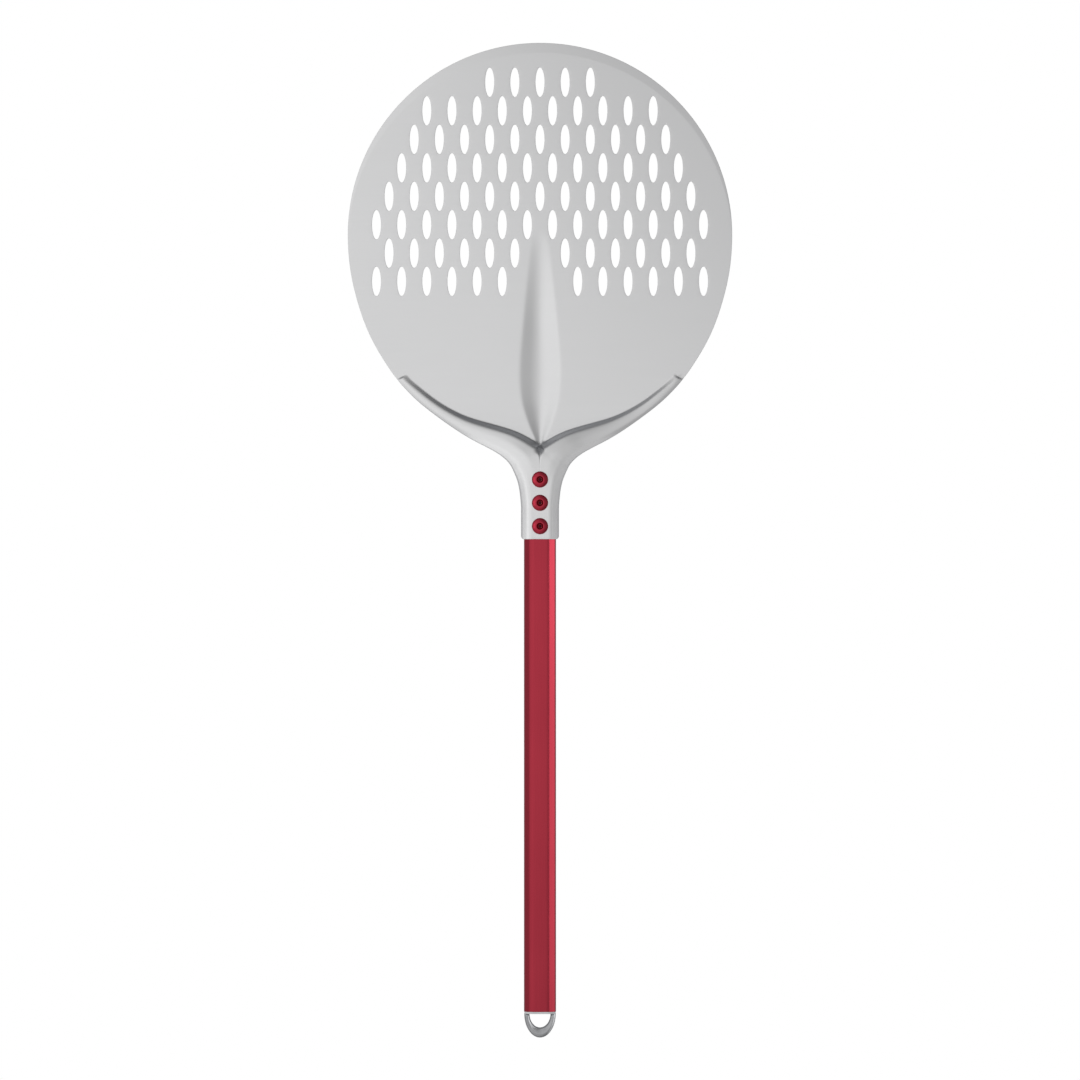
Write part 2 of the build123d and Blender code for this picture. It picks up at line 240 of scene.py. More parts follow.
def section(i):
    """Outer and inner control points (u, z) and corner trims of one section."""
    A, B = np.array([Ax[i], Ay[i]]), np.array([Bx[i], By[i]])
    L = float(np.hypot(*(B - A)))
    f = min(2.2, 0.5 * Ax[i]) if i < ia else 0.0
    k = 1 - f / 2.2
    tipk = 1 - smooth(0.0, 5.0, cols[i])
    e = 0.30 * uW[i] * L * k
    z0 = zA[i]
    q0 = A - (B - A) / L * f
    zf = float(z_top(q0[0], q0[1])) if i < ia else z0
    slope = (zW[i] - z0) / (uW[i] * L)
    zE_ = max(zE[i], 0.0)
    a = float(lip[i])
    O = [(-f, zf), (e, z0 + slope * e), (uW[i] * L, zW[i]), (uC[i] * L, zC[i]), (uO[i] * L, zO[i]), (L, zS[i])]
    O6a, O7a, O8a = (L, zE_), (L - 0.45, zE_), (L - 0.8, zE_)
    O6n, O7n, O8n = (L, 6.05), (L - 6.05, 0.0), (L - 10.75, 0.0)
    mix = lambda p, q: (p[0] + (q[0] - p[0]) * a, p[1] + (q[1] - p[1]) * a)
    O += [mix(O6a, O6n), mix(O7a, O7n), mix(O8a, O8n)]
    O = np.array(O)
    d = np.diff(O, axis=0)
    d /= np.maximum(np.hypot(*d.T), 1e-9)[:, None]
    nrm = np.stack([d[:, 1], -d[:, 0]], axis=1)
    I = np.zeros_like(O)
    for j in range(1, 6):
        n1, n2 = nrm[j - 1], nrm[j]
        I[j] = O[j] + T * (n1 + n2) / (1 + float(n1 @ n2))
    if i <= ia:
        I[0] = (-f, z_bot(Ax[i], Ay[i]) if i else ZBOT)
        I[0][1] = zf - T
        kk = k
        I[1] = (max(I[1][0], -f + 0.4), I[1][1])
    else:
        I[0] = (0.0, z0 - T * (1.0 + 0.5 * math.exp(-(cols[i] - pa) / 6.0) * smooth(0, 3, cols[i] - pa)))
        I[1] = (max(I[1][0], 0.5), min(I[1][1], z0 + slope * e - T))
    h = float(np.clip((zS[i] - T - zE_) / 1.5, 0, 1))
    I[5] = (L - T, max(zS[i] - T + 0.4 * h, zE_ + 0.0))
    I6a, I7a, I8a = (L - 1.7 - 0.3 * h, zE_), (L - 1.4 - 0.3 * h, zE_), (L - 1.1 - 0.1 * h, zE_)
    I6n, I7n, I8n = (L - 2.0, 6.88), (L - 6.88, 2.0), (L - 10.75, 2.0)
    I[6], I[7], I[8] = mix(I6a, I6n), mix(I7a, I7n), mix(I8a, I8n)
    ring = np.concatenate([O, I[::-1]])
    r5 = 0.35 + 0.5 * smooth(0.0, 40.0, cols[i]) + 1.4 * smooth(90.0, 150.0, cols[i])
    tr = [0, 1.1 * (1 - k) + 0.5, 2.6, 2.4, 3.0, r5, 0.28 + 2.0 * a, 0.16 + 1.8 * a, 0.16 + 0.1 * a]
    ti = [0, 0.8, 0.8, 1.0, 1.2, 0.2 + 0.8 * h, 0.12 + 0.8 * a, 0.1 + 0.7 * a, 0.12 + 0.1 * a]
    return ring, np.array(tr + ti[::-1]), A, B, L


SEG = [2, 1, 2, 3, 3, 5, 2, 2, 1]            # plain points inside each outer run
BZ = [0.0, 0.25, 0.5, 0.75, 1.0]


def rows_of(ring, trims):
    n = len(ring)
    d = np.hypot(*np.diff(ring, axis=0).T)
    out = [ring[0]]
    last = ring[0]
    marks = {}
    seg = SEG[:8] + [0] + SEG[:8][::-1]
    for j in range(1, n - 1):
        t = min(trims[j], 0.42 * d[j - 1], 0.42 * d[j])
        a = ring[j] + (ring[j - 1] - ring[j]) / max(d[j - 1], 1e-9) * t
        b = ring[j] + (ring[j + 1] - ring[j]) / max(d[j], 1e-9) * t
        m = seg[j - 1]
        for s in range(1, m + 1):
            out.append(last + (a - last) * s / (m + 1))
        marks[(j, 0)] = len(out)
        for q in BZ:
            out.append((1 - q) ** 2 * a + 2 * q * (1 - q) * ring[j] + q * q * b)
        marks[(j, 1)] = len(out) - 1
        last = b
    m = seg[-1]
    for s in range(1, m + 1):
        out.append(last + (ring[-1] - last) * s / (m + 1))
    out.append(ring[-1])
    return np.array(out), marks


patch = []
for i in range(NC):
    ring, tr, A, B, L = section(i)
    rows, marks = rows_of(ring, tr)
    dirv = (B - A) / L
    xyz = np.column_stack([A[0] + dirv[0] * rows[:, 0], A[1] + dirv[1] * rows[:, 0], rows[:, 1]])
    patch.append(xyz)
patch = np.array(patch)                       # columns x rows x 3
NR = patch.shape[1]
# rounded outer corners at the neck's very end
cut = 2.6 * (1 - np.sqrt(1 - np.clip((patch[:, :, 0] - 13.4) / 2.86, 0, 1) ** 2))
back = np.clip((-246.0 - patch[:, :, 1]) / 15.0, 0, 1)
patch[:, :, 1] += cut * back
iR0, iR1 = marks[(5, 0)], marks[(6, 1)]        # rim rows of the plate's edge
half = NR // 2
# symmetry plane
for i in range(ia, NC):
    patch[i, 0, 0] = 0.0
    patch[i, -1, 0] = 0.0

quads = []
def grid_faces(v, closed_u=False):
    f = []
    for i in range(v.shape[0] - 1):
        for j in range(v.shape[1] - 1):
            f.append((v[i, j], v[i + 1, j], v[i + 1, j + 1], v[i, j + 1]))
    return f


verts, faces = [], []


def add(points):
    base = len(verts)
    verts.extend(map(tuple, np.asarray(points, float)))
    return np.arange(base, base + len(points))


for sx in (1, -1):
    pts = patch * np.array([sx, 1, 1])
    idx = add(pts.reshape(-1, 3)).reshape(NC, NR)
    for f in grid_faces(idx):
        faces.append(f if sx == 1 else f[::-1])
    # the end of the neck, with a small bevel inside and out
    end = pts[-1].copy()
    o, n_ = end[:NR // 2], end[NR // 2:][::-1]
    dv = n_ - o
    ln = np.maximum(np.linalg.norm(dv, axis=1), 1e-6)[:, None]
    o1 = o + dv / ln * 0.35 + np.array([0, -0.25, 0])
    n1 = n_ - dv / ln * 0.2 + np.array([0, -0.2, 0])
    k1, k2 = add(o1), add(n1)
    ko, kn = idx[-1, :NR // 2], idx[-1, NR // 2:][::-1]
    for a_, b_ in ((ko, k1), (k1, k2), (k2, kn)):
        for j in range(len(a_) - 1):
            f = (a_[j], b_[j], b_[j + 1], a_[j + 1])
            faces.append(f if sx == 1 else f[::-1])
    # the two lips' ends: join the last outer and inner points
    f = (ko[-1], k1[-1], k2[-1], kn[-1])
    faces.append(f if sx == 1 else f[::-1])

# ---------------------------------------------------------------------------
# the plate: rim, perforations, and its two faces
# ---------------------------------------------------------------------------
right = np.array(OUTLINE)
ro = np.concatenate([[0], np.cumsum(np.hypot(*np.diff(right, axis=0).T))])
n_side = 110
qs = np.linspace(0, ro[-1], n_side)
tip_dir = B0[1] - B0[0]
tip_dir = tip_dir / np.hypot(*tip_dir)
sxs = spline(ro, right[:, 0], qs, s0=0.0, s1=tip_dir[0])
sys_ = spline(ro, right[:, 1], qs, s0=-1.0, s1=tip_dir[1])
arc = np.radians(np.linspace(90, 0, 181))[:-1]
out_r = np.concatenate([np.column_stack([R * np.cos(arc), R * np.sin(arc)]), np.column_stack([sxs, sys_])])
out_r[-1] = B0[0]
# full plate outline from the right arm's tip anticlockwise over the front to the left arm's tip
left = out_r[1:] * np.array([-1, 1])
outline = np.concatenate([out_r[::-1], left])
tan = np.gradient(outline, axis=0)
tan /= np.hypot(*tan.T)[:, None]
inward = np.column_stack([-tan[:, 1], tan[:, 0]])
inward *= np.sign(-(inward * outline).sum(axis=1))[:, None]

sec0 = patch[0]
L0 = float(np.hypot(*(B0[0] - A0[0])))
rim_u, rim_z = [], []
ring0, tr0, *_ = section(0)
rows0, _m = rows_of(ring0, tr0)
for j in range(iR0, iR1 + 1):
    rim_u.append(L0 - rows0[j, 0])
    rim_z.append(rows0[j, 1])
rim_u, rim_z = np.array(rim_u), np.array(rim_z)
NJ = len(rim_u)
rim = np.zeros((len(outline), NJ, 3))
for c, (p, nv) in enumerate(zip(outline, inward)):
    zt = float(z_top(p[0], p[1]))
    s = (zt - ZBOT) / T                         # 1 = full thickness, 0.4 at the milled edge
    for j in range(NJ):
        z = ZBOT + (rim_z[j] - ZBOT) * s
        q = p + nv * rim_u[j]
        if j == 0:
            z = float(z_top(q[0], q[1]))
        rim[c, j] = (q[0], q[1], z)
rim[0] = patch[0, iR0:iR1 + 1]
rim[-1] = patch[0, iR0:iR1 + 1] * np.array([-1, 1, 1])
ridx = add(rim.reshape(-1, 3)).reshape(len(outline), NJ)
faces += grid_faces(ridx)

slots = []
for y, first_x, count, middle in SLOT_ROWS:
    xs = [first_x + i * SLOT_PITCH for i in range(count)]
    slots += [(x, y) for x in [-x for x in xs] + xs + ([0.0] if middle else [])]
th = np.linspace(0, 2 * np.pi, 44, endpoint=False)
cs, sn = np.cos(th), np.sin(th)
a_, b_ = SLOT_W / 2, SLOT_L / 2
ex, ey = a_ * cs, b_ * sn
nx, ny = b_ * cs, a_ * sn
nl = np.hypot(nx, ny)
nx, ny = nx / nl, ny / nl
top_loops, bot_loops = [], []
CH = 0.28
for cx, cy in slots:
    loops = []
    for off, kind in ((CH, "t0"), (CH * 0.3, "t1"), (0.0, "t2"), (0.0, "b2"), (CH * 0.3, "b1"), (CH, "b0")):
        x, y = cx + ex + nx * off, cy + ey + ny * off
        zt, zb = z_top(x, y), z_bot(x, y)
        z = {"t0": zt, "t1": zt - CH * 0.3, "t2": zt - CH, "b2": zb + CH, "b1": zb + CH * 0.3, "b0": zb}[kind]
        loops.append(np.column_stack([x, y, z]))
    ids = [add(l) for l in loops]
    n = len(th)
    for p_, q_ in zip(ids[:-1], ids[1:]):
        for j in range(n):
            faces.append((p_[j], q_[j], q_[(j + 1) % n], p_[(j + 1) % n]))
    top_loops.append(loops[0])
    bot_loops.append(loops[-1])


def far_from(points, loops, gap):
    """True for the points at least gap from every loop point."""
    keep = np.ones(len(points), bool)
    allp = np.concatenate(loops)
    cell = 6.0
    bins = {}
    for p in allp:
        bins.setdefault((int(p[0] // cell), int(p[1] // cell)), []).append(p[:2])
    for i, p in enumerate(points):
        cx, cy = int(p[0] // cell), int(p[1] // cell)
        for dx in (-1, 0, 1):
            for dy in (-1, 0, 1):
                b = bins.get((cx + dx, cy + dy))
                if b is not None:
                    b = np.asarray(b)
                    if (np.hypot(b[:, 0] - p[0], b[:, 1] - p[1]) < gap).any():
                        keep[i] = False
    return keep


def inside(points, poly):
    x, y = points[:, 0], points[:, 1]
    res = np.zeros(len(points), bool)
    x1, y1 = poly[:, 0], poly[:, 1]
    x2, y2 = np.roll(x1, -1), np.roll(y1, -1)
    for a, b, c, d in zip(x1, y1, x2, y2):
        if b == d:
            continue
        hit = ((b > y) != (d > y)) & (x < (c - a) * (y - b) / (d - b) + a)
        res ^= hit
    return res


def plate_face(rim_row, sec_rows, zf, loops, step, flip, extra):
    """One face of the plate, triangulated between its outline, the V and the slots."""
    outer = [rim[:, rim_row]]
    sec = patch[0, sec_rows]                    # along the nose's section towards the V
    vline = patch[:ia + 1, sec_rows[-1]]
    mir = np.array([-1, 1, 1])
    loop = np.concatenate([rim[:, rim_row], (sec * mir)[1:], (vline * mir)[1:], vline[::-1][1:], sec[::-1][1:-1]])
    pts2 = [loop[:, :2]]
    xs = np.arange(-164, 164.1, 7.0)
    ys = np.arange(-178, 164.1, 6.0)
    gx, gy = np.meshgrid(xs, ys)
    gx = gx + (np.arange(len(ys)) % 2)[:, None] * 3.5
    pool = np.column_stack([gx.ravel(), gy.ravel()])
    near_ch = (np.abs(pool[:, 0]) < 22) & (pool[:, 1] < 6)
    pool = pool[~near_ch]
    cx = np.concatenate([-np.arange(step / 2, 22, step)[::-1], np.arange(step / 2, 22, step)])
    cy = np.arange(-178.5, 7, step * 1.25)
    hx, hy = np.meshgrid(cx, cy)
    fine = np.column_stack([hx.ravel(), hy.ravel()])
    pool = np.concatenate([pool, fine])
    rings = []
    if extra:
        for off in (-0.22, 0.22):
            rr = BEVEL_R + off
            t = np.radians(np.linspace(8, 172, 330))
            ring = np.column_stack([rr * np.cos(t), rr * np.sin(t) - BEVEL_E])
            ok = (np.hypot(ring[:, 0], ring[:, 1]) < R - 0.75) & (ring[:, 1] > 0)
            rings.append(ring[ok])
    barrier = [loop] + loops + rings
    pool = pool[inside(pool, loop[:, :2])]
    pool = pool[far_from(pool, [np.asarray(b)[:, :2] for b in barrier], min(0.7, step * 0.55))]
    for cx_, cy_ in slots:
        pool = pool[((pool[:, 0] - cx_) / (a_ + 0.5)) ** 2 + ((pool[:, 1] - cy_) / (b_ + 0.5)) ** 2 > 1]
    coords, edges = [], []
    z_known = []

    def put(poly, closed=True):
        base = len(coords)
        for p in poly:
            coords.append(Vector((float(p[0]), float(p[1]))))
            z_known.append(float(p[2]) if len(p) > 2 else None)
        n = len(poly)
        for j in range(n if closed else n - 1):
            edges.append((base + j, base + (j + 1) % n))

    put(loop)
    for l in loops:
        put(l)
    for r_ in rings:
        put(r_, closed=False)
    for p in pool:
        coords.append(Vector((float(p[0]), float(p[1]))))
        z_known.append(None)
    ov, oe, of_, orig, _, _ = delaunay_2d_cdt(coords, edges, [], 0, 1e-5)
    V = np.zeros((len(ov), 3))
    for i, v in enumerate(ov):
        src = orig[i][0] if orig[i] else None
        if src is not None:
            V[i, :2] = coords[src]
            V[i, 2] = z_known[src] if z_known[src] is not None else float(zf(coords[src][0], coords[src][1]))
        else:
            V[i] = (v[0], v[1], float(zf(v[0], v[1])))
    tri = np.array([t for t in of_ if len(t) == 3])
    cen = V[tri].mean(axis=1)
    ok = inside(cen[:, :2], loop[:, :2])
    for (cx_, cy_), l in zip(slots, loops):
        near = np.nonzero((np.abs(cen[:, 0] - cx_) < a_ + 1) & (np.abs(cen[:, 1] - cy_) < b_ + 1))[0]
        ok[near[inside(cen[near][:, :2], l[:, :2])]] = False
    tri = tri[ok]
    base = add(V)[0]
    for t in tri:
        a, b, c = V[t[0]], V[t[1]], V[t[2]]
        up = (b[0] - a[0]) * (c[1] - a[1]) - (b[1] - a[1]) * (c[0] - a[0]) > 0
        f = tuple(int(base + k) for k in t)
        if up == flip:
            f = f[::-1]
        faces.append(f)


top_rows = list(range(iR0, -1, -1))             # from the rim back to the V on top
bot_rows = list(range(iR1, NR))                 # and underneath
plate_face(0, top_rows, z_top, top_loops, 1.35, False, True)
plate_face(NJ - 1, bot_rows, z_bot, bot_loops, 2.0, True, False)


def make_mesh(name, verts, faces, weld=6e-6, smooth_shade=True):
    v = np.array(verts, float)
    v[:, 1] += Y_SHIFT
    v /= 1000.0
    me = bpy.data.meshes.new(name)
    me.from_pydata([tuple(p) for p in v], [], [tuple(int(k) for k in f) for f in faces])
    bm = bmesh.new()
    bm.from_mesh(me)
    bmesh.ops.remove_doubles(bm, verts=bm.verts, dist=weld)
    bmesh.ops.dissolve_degenerate(bm, edges=bm.edges, dist=1e-7)
    loose = [x for x in bm.verts if not x.link_faces]
    bmesh.ops.delete(bm, geom=loose, context="VERTS")
    bmesh.ops.recalc_face_normals(bm, faces=bm.faces)
    open_edges = sum(1 for e in bm.edges if len(e.link_faces) != 2)
    print("MESH", name, len(bm.verts), "verts", len(bm.faces), "faces", open_edges, "open or crowded edges")
    bm.to_mesh(me)
    bm.free()
    me.validate()
    obj = bpy.data.objects.new(name, me)
    bpy.context.scene.collection.objects.link(obj)
    if smooth_shade:
        for p in me.polygons:
            p.use_smooth = True
        area_normals(me)
    return obj


def area_normals(me):
    """Vertex normals weighted by face area, so that flats stay flat beside narrow rounded edges."""
    n = len(me.vertices)
    acc = np.zeros((n, 3))
    for p in me.polygons:
        w = np.array(p.normal) * p.area
        for k in p.vertices:
            acc[k] += w
    acc /= np.maximum(np.linalg.norm(acc, axis=1), 1e-12)[:, None]
    me.normals_split_custom_set_from_vertices([tuple(a) for a in acc])


head = make_mesh("peel_head_sheet", verts, faces)

# painted shade: a darker band in the inner corner between the blade and the raised shoulders,
# where shade falls in the crease
me_ = head.data
n_ = len(me_.vertices)
co_ = np.empty(n_ * 3, np.float32)
no_ = np.empty(n_ * 3, np.float32)
me_.vertices.foreach_get("co", co_)
me_.vertices.foreach_get("normal", no_)
co_ = co_.reshape(-1, 3) * 1000.0
no_ = no_.reshape(-1, 3)
# painted shade: weight for the walls that face the blade, above the plate's top
crease_shade_mask = smooth(0.25, 0.6, no_[:, 1]) * (1 - smooth(0.45, 0.94, no_[:, 2])) * (no_[:, 2] > -0.02)
crease_shade_mask *= (co_[:, 1] - Y_SHIFT < -118.0) * (co_[:, 2] > ZB + 0.02)
me_.attributes.new("crease_painted_shade", "FLOAT", "POINT").data.foreach_set("value", crease_shade_mask.astype(np.float32))


# ---------------------------------------------------------------------------
# turned and extruded pieces
# ---------------------------------------------------------------------------
def lathe(name, prof, cx, cy, n=72):
    """Closed turned shape from an (r, z) outline that starts and ends on the axis or closes on itself."""
    vs, fs = [], []
    on_axis = prof[0][0] < 1e-6 and prof[-1][0] < 1e-6
    rings = []
    for r, z in prof:
        if r < 1e-6:
            rings.append([len(vs)] * n)
            vs.append((cx, cy, z))
        else:
            base = len(vs)
            for k in range(n):
                t = 2 * math.pi * k / n
                vs.append((cx + r * math.cos(t), cy + r * math.sin(t), z))
            rings.append([base + k for k in range(n)])
    pairs = list(zip(rings[:-1], rings[1:]))
    if not on_axis:
        pairs.append((rings[-1], rings[0]))
    for a, b in pairs:
        for k in range(n):
            f = [a[k], a[(k + 1) % n], b[(k + 1) % n], b[k]]
            g = []
            for q in f:
                if q not in g:
                    g.append(q)
            if len(g) > 2:
                fs.append(tuple(g))
    return make_mesh(name, vs, fs)


def round_profile(pts, closed=True, trims=0.2, k=5):
    """Rounds the corners of a polyline of (r, z)."""
    out = []
    n = len(pts)
    pts = [np.array(p, float) for p in pts]
    tr = trims if isinstance(trims, (list, tuple)) else [trims] * n
    for i in range(n):
        if not closed and i in (0, n - 1):
            out.append(pts[i])
            continue
        p, a, b = pts[i], pts[i - 1], pts[(i + 1) % n]
        la, lb = np.linalg.norm(a - p), np.linalg.norm(b - p)
        t = min(tr[i], 0.45 * la, 0.45 * lb)
        s, e = p + (a - p) / la * t, p + (b - p) / lb * t
        for q in np.linspace(0, 1, k):
            out.append((1 - q) ** 2 * s + 2 * q * (1 - q) * p + q * q * e)
    return [tuple(map(float, p)) for p in out]


def octagon(w, d, c, zm, trim, k=6, crown=0.0):
    a, b = w / 2, d / 2
    pts = [(-a, zm - b + c), (-a + c, zm - b), (a - c, zm - b), (a, zm - b + c),
           (a, zm + b - c), (a - c, zm + b), (-a + c, zm + b), (-a, zm + b - c)]
    ring = round_profile(pts, True, trim, k)
    if not crown:
        return np.array(ring)
    out = []
    for i, p in enumerate(ring):
        q = ring[(i + 1) % len(ring)]
        out.append(p)
        if abs(p[1] - q[1]) < 1e-9 and abs(abs(p[1] - zm) - b) < 1e-6 and abs(p[0] - q[0]) > 5:
            out += [(p[0] + (q[0] - p[0]) * k_ / 10, p[1]) for k_ in range(1, 10)]
    out = np.array(out)
    lie = crown * np.clip(np.abs(out[:, 0]) / (a - c), 0, 1) ** 2 * np.clip((np.abs(out[:, 1] - zm) - b + 2.0) / 2.0, 0, 1)
    out[:, 1] -= np.sign(out[:, 1] - zm) * lie
    return out


def skin(rings, caps=(False, False), closed_ring=False):
    """Quads between closed rings of (x, y, z) points, with flat caps if asked."""
    vs = np.concatenate(rings)
    n = len(rings[0])
    fs = []
    m = len(rings)
    for i in range(m if closed_ring else m - 1):
        a, b = i * n, ((i + 1) % m) * n
        for k in range(n):
            fs.append((a + k, a + (k + 1) % n, b + (k + 1) % n, b + k))
    if caps[0]:
        fs.append(tuple(range(n)))
    if caps[1]:
        fs.append(tuple(range((m - 1) * n, m * n))[::-1])
    return vs, fs


def at(ring, y):
    return np.column_stack([ring[:, 0], np.full(len(ring), y), ring[:, 1]])


# handle tube: eight-sided, thin walled, with softened corners and deburred ends
TUBE_W, TUBE_D, TUBE_C, WALL = 27.5, 20.0, 5.75, 1.2
TOP_Y, END_Y = -207.0, -666.3
o_ring = lambda inset: octagon(TUBE_W - 2 * inset, TUBE_D - 2 * inset, TUBE_C - 0.586 * inset, TUBE_ZM, 2.7 - 0.5 * inset, 7, 0.2)
ys_ = [TOP_Y - 0.3] + list(np.linspace(TOP_Y - 6, END_Y + 6, 40)) + [END_Y + 0.35]
rings = [at(o_ring(0.25), TOP_Y)] + [at(o_ring(0.0), y) for y in ys_] + [at(o_ring(0.1), END_Y + 0.1), at(o_ring(0.35), END_Y)]
rings += [at(o_ring(WALL - 0.2), END_Y), at(o_ring(WALL), END_Y + 0.3)]
rings += [at(o_ring(WALL), y) for y in np.linspace(END_Y + 10, TOP_Y - 10, 8)] + [at(o_ring(WALL), TOP_Y)]
vs, fs = skin(rings, closed_ring=True)
tube = make_mesh("handle_tube_red", vs, fs)

# end plug: moulded flange with soft edges, and its stem inside the tube
PF, PDEP = 1.8, 16.0
f_ring = lambda inset: octagon(TUBE_W - 0.6 - 2 * inset, TUBE_D - 0.6 - 2 * inset, 5.55 - 0.586 * inset, TUBE_ZM, 1.6)
s_ring = lambda inset: octagon(TUBE_W - 2 * WALL - 0.1 - 2 * inset, TUBE_D - 2 * WALL - 0.1 - 2 * inset, 5.0, TUBE_ZM, 1.0)
rings = [at(s_ring(1.0), END_Y + PDEP), at(s_ring(0.3), END_Y + PDEP), at(s_ring(0.0), END_Y + PDEP - 0.8),
         at(s_ring(0.0), END_Y - 0.0), at(f_ring(0.05), END_Y - 0.0), at(f_ring(0.0), END_Y - 0.12),
         at(f_ring(0.0), END_Y - PF + 0.7), at(f_ring(0.12), END_Y - PF + 0.35), at(f_ring(0.4), END_Y - PF + 0.1),
         at(f_ring(0.8), END_Y - PF), at(f_ring(1.6), END_Y - PF)]
vs, fs = skin(rings, caps=(True, True))
plug = make_mesh("end_plug_moulded", vs, fs)

# hanging loop: crescent bail with rounded edges and two legs into the plug
LT = 6.0
loop_top = END_Y - PF - 0.05
oa, ob, ia_, ib = 13.5, 20.55, 9.0, 11.85
N = 72
sec_pts = []
loop_rings = []
leg = list(np.linspace(11.5, 0.6, 5))
path = [("l", d) for d in leg] + [("a", t) for t in np.linspace(math.pi, 2 * math.pi, N)] + [("r", d) for d in leg[::-1]]
for kind, v in path:
    if kind == "a":
        po = np.array([oa * math.cos(v), ob * math.sin(v)])
        pi_ = np.array([ia_ * math.cos(v), ib * math.sin(v)])
        # the very bottom of the bail keeps its shape: the shift below is zero
        po[1] -= 0.0
        hgt = LT
        lead = smooth(0.0, 0.10, min(v - math.pi, 2 * math.pi - v))
        hgt = 5.0 + (LT - 5.0) * lead
    else:
        s = -1 if kind == "l" else 1
        taper = smooth(4.0, 0.6, v)
        po = np.array([s * (11.5 + 2.0 * taper), v])
        pi_ = np.array([s * (7.5 + 1.5 * taper), v])
        hgt = 5.0
    w = po - pi_
    wl = float(np.hypot(*w))
    h2 = hgt / 2
    prof = []
    for k in range(28):
        t = 2 * math.pi * (k + 0.5) / 28
        c_, s_ = math.cos(t), math.sin(t)
        e_ = 2 / 2.6
        px = wl / 2 * (1 + math.copysign(abs(c_) ** e_, c_))
        pz = h2 * math.copysign(abs(s_) ** e_, s_)
        if kind == "a" and pz > 0:
            pz *= 1 - 0.62 * math.sin(v) ** 2 * (1 - min(px / wl / 0.66, 1.0))
        prof.append((px, pz))
    u = w / wl
    loop_rings.append(np.array([(pi_[0] + u[0] * q[0], loop_top + pi_[1] + u[1] * q[0], TUBE_ZM + q[1]) for q in prof]))
vs, fs = skin(loop_rings, caps=(True, True))
loop = make_mesh("hanging_loop_bail", vs, fs)

# blind rivets: large rounded flange, raised ring round the crater, snapped mandrel inside
zt = NECK_TOP
rivets = []
for y, where in ((-210.0, "front"), (-230.0, "middle"), (-250.0, "rear")):
    base = [(2.4, zt), (6.85, zt), (7.0, zt + 0.3), (6.75, zt + 0.72), (6.0, zt + 1.32), (5.0, zt + 1.84), (4.1, zt + 2.15),
            (3.35, zt + 2.3), (2.85, zt + 2.12), (2.4, zt + 1.45), (2.0, zt + 0.8), (1.5, zt + 0.45), (1.41, zt + 0.39), (1.4, zt + 0.2), (1.4, zt - 0.5), (1.4, 15.7), (2.25, 15.7),
            (2.9, 16.6), (3.5, 18.6), (3.4, 20.1), (2.4, 20.8)]
    trims = [0.2, 0.12, 0.2, 0.3, 0.5, 0.5, 0.4, 0.35, 0.3, 0.3, 0.3, 0.05, 0.04, 0.1, 0.2, 0.2, 0.3, 0.5, 0.8, 0.6, 0.3]
    body = lathe("rivet_body_" + where, round_profile(base, True, trims, 5), 0.0, y)
    mand = [(0.0, zt + 0.36), (0.7, zt + 0.37), (1.33, zt + 0.36), (1.37, zt + 0.32), (1.39, zt + 0.25), (1.39, zt), (1.39, 15.6), (2.15, 15.6), (2.15, 14.5), (1.5, 13.8), (0.0, 13.6)]
    pin = lathe("rivet_pin_" + where, round_profile(mand, False, [0, 0.2, 0.02, 0.02, 0.03, 0.1, 0.2, 0.2, 0.3, 0.4, 0], 4), 0.0, y, 48)
    rivets.append((body, pin, where))


# ---------------------------------------------------------------------------
# materials
# ---------------------------------------------------------------------------
class Nodes:
    def __init__(self, name):
        self.mat = bpy.data.materials.new(name)
        self.mat.use_nodes = True
        self.t = self.mat.node_tree
        self.t.nodes.clear()
        self.out = self.new("ShaderNodeOutputMaterial")
        self.bsdf = self.new("ShaderNodeBsdfPrincipled")
        self.link(self.bsdf.outputs[0], self.out.inputs[0])
        self.co = self.new("ShaderNodeTexCoord").outputs["Object"]

    def new(self, kind, **kw):
        n = self.t.nodes.new(kind)
        for k, v in kw.items():
            setattr(n, k, v)
        return n

    def link(self, a, b):
        self.t.links.new(a, b)

    def noise(self, scale, detail=3.0, rough=0.55, stretch=(1, 1, 1), co=None):
        m = self.new("ShaderNodeMapping")
        m.inputs["Scale"].default_value = stretch
        self.link(co or self.co, m.inputs["Vector"])
        n = self.new("ShaderNodeTexNoise")
        n.inputs["Scale"].default_value = scale
        n.inputs["Detail"].default_value = detail
        n.inputs["Roughness"].default_value = rough
        self.link(m.outputs[0], n.inputs["Vector"])
        return n.outputs["Fac"]

    def ramp(self, fac, lo, hi, a, b):
        r = self.new("ShaderNodeMapRange")
        r.inputs["From Min"].default_value = lo
        r.inputs["From Max"].default_value = hi
        r.inputs["To Min"].default_value = a
        r.inputs["To Max"].default_value = b
        self.link(fac, r.inputs["Value"])
        return r.outputs["Result"]

    def math(self, op, a, b):
        m = self.new("ShaderNodeMath", operation=op)
        for i, v in enumerate((a, b)):
            if isinstance(v, (int, float)):
                m.inputs[i].default_value = v
            else:
                self.link(v, m.inputs[i])
        return m.outputs[0]

    def mixc(self, fac, a, b):
        m = self.new("ShaderNodeMix", data_type="RGBA")
        if isinstance(fac, (int, float)):
            m.inputs[0].default_value = fac
        else:
            self.link(fac, m.inputs[0])
        for i, v in ((6, a), (7, b)):
            if isinstance(v, tuple):
                m.inputs[i].default_value = (*v, 1)
            else:
                self.link(v, m.inputs[i])
        return m.outputs[2]

    def bump(self, height, strength, dist, normal=None):
        b = self.new("ShaderNodeBump")
        b.inputs["Strength"].default_value = strength
        b.inputs["Distance"].default_value = dist
        self.link(height, b.inputs["Height"])
        if normal is not None:
            self.link(normal, b.inputs["Normal"])
        return b.outputs["Normal"]

    def set(self, **kw):
        for k, v in kw.items():
            s = self.bsdf.inputs[k.replace("_", " ")]
            if isinstance(v, (int, float, tuple)):
                s.default_value = (*v, 1) if isinstance(v, tuple) and len(v) == 3 and s.type == "RGBA" else v
            else:
                self.link(v, s)


